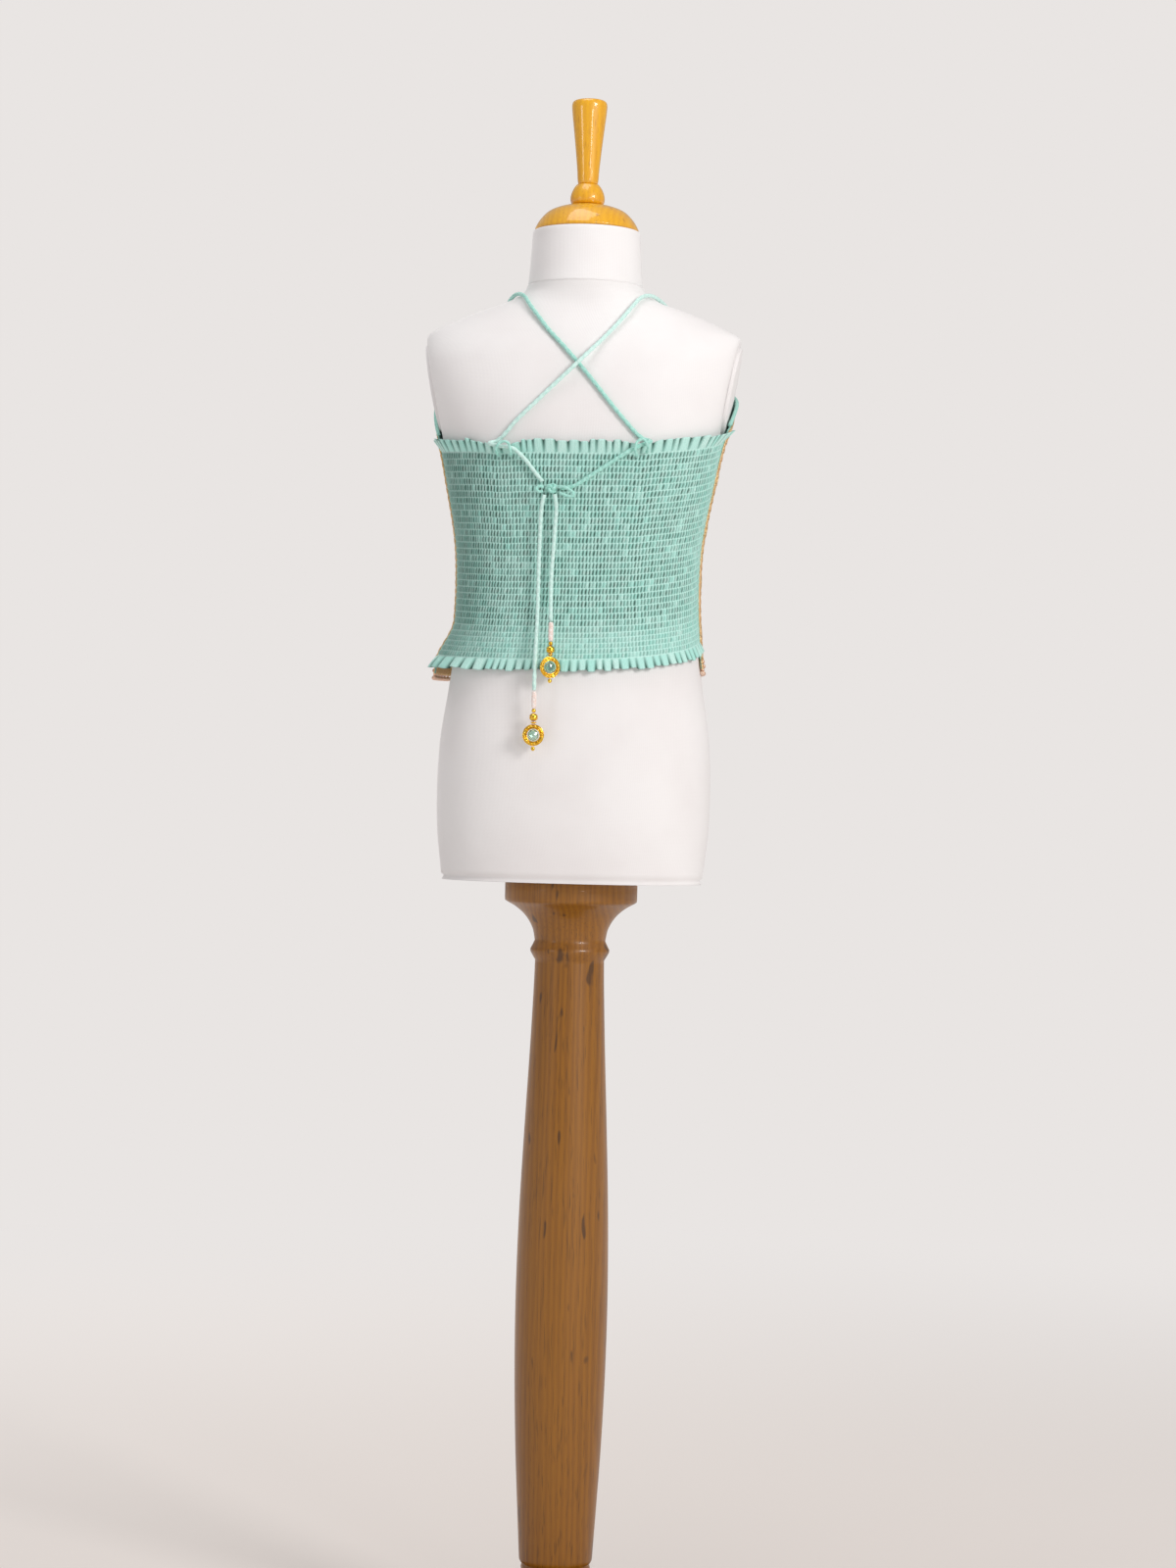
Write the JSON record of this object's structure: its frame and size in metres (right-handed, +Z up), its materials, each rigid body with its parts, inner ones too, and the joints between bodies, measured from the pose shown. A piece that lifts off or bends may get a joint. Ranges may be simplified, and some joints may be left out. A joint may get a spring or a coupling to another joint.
{
  "type": "choli blouse on a dress form",
  "caption": "Child's choli blouse with a shirred elastic back, ruffled edges and criss-cross cord ties, worn on a limbless dress form with a turned wooden stand.",
  "frame": {"origin": "centre of the underside of the wooden base", "axes": "+Z up the stand, the blouse faces -Y and its shirred back faces +Y, the wearer's right side is at -X"},
  "size_m": [0.3, 0.3, 1.2676],
  "materials": {
    "mint_cloth": "plain woven silk blend, soft sheen",
    "mint_cord": "turned bias cord, soft sheen",
    "zari_trim": "metal-thread work, glinting",
    "wrap_thread": "twisted thread, matt",
    "gilt": "polished gilt",
    "glass_bead": "clear, faintly green",
    "form_jersey": "matt stretch jersey",
    "varnished_wood": "amber gloss varnish"
  },
  "bodies": {
    "root": {"back_panel": "mint_cloth", "front_panel": "mint_cloth", "front_hem_trim": "zari_trim", "side_trim_right": "zari_trim", "side_trim_left": "zari_trim", "neck_binding": "mint_cord", "armhole_binding_right": "mint_cord", "armhole_binding_left": "mint_cord", "strap_loop_left": "mint_cord", "strap_loop_right": "mint_cord", "strap_right": "mint_cord", "strap_left": "mint_cord", "strap_knot": "mint_cord", "bow_right": "mint_cord", "bow_left": "mint_cord", "tail_right": "mint_cord", "tail_left": "mint_cord", "latkan_right_wrap": "wrap_thread", "latkan_right_cap_bead": "gilt", "latkan_right_ball": "gilt", "latkan_right_cone": "gilt", "latkan_right_ring": "gilt", "latkan_right_glass": "glass_bead", "latkan_right_drop": "gilt", "latkan_left_wrap": "wrap_thread", "latkan_left_cap_bead": "gilt", "latkan_left_ball": "gilt", "latkan_left_cone": "gilt", "latkan_left_ring": "gilt", "latkan_left_glass": "glass_bead", "latkan_left_drop": "gilt", "form_torso": "form_jersey", "form_arm_cap_left": "form_jersey", "form_arm_cap_right": "form_jersey", "form_neck": "form_jersey", "neck_cap": "varnished_wood", "finial_ball": "varnished_wood", "finial_handle": "varnished_wood", "stand_post": "varnished_wood", "stand_base": "varnished_wood"}
  },
  "joints": []
}
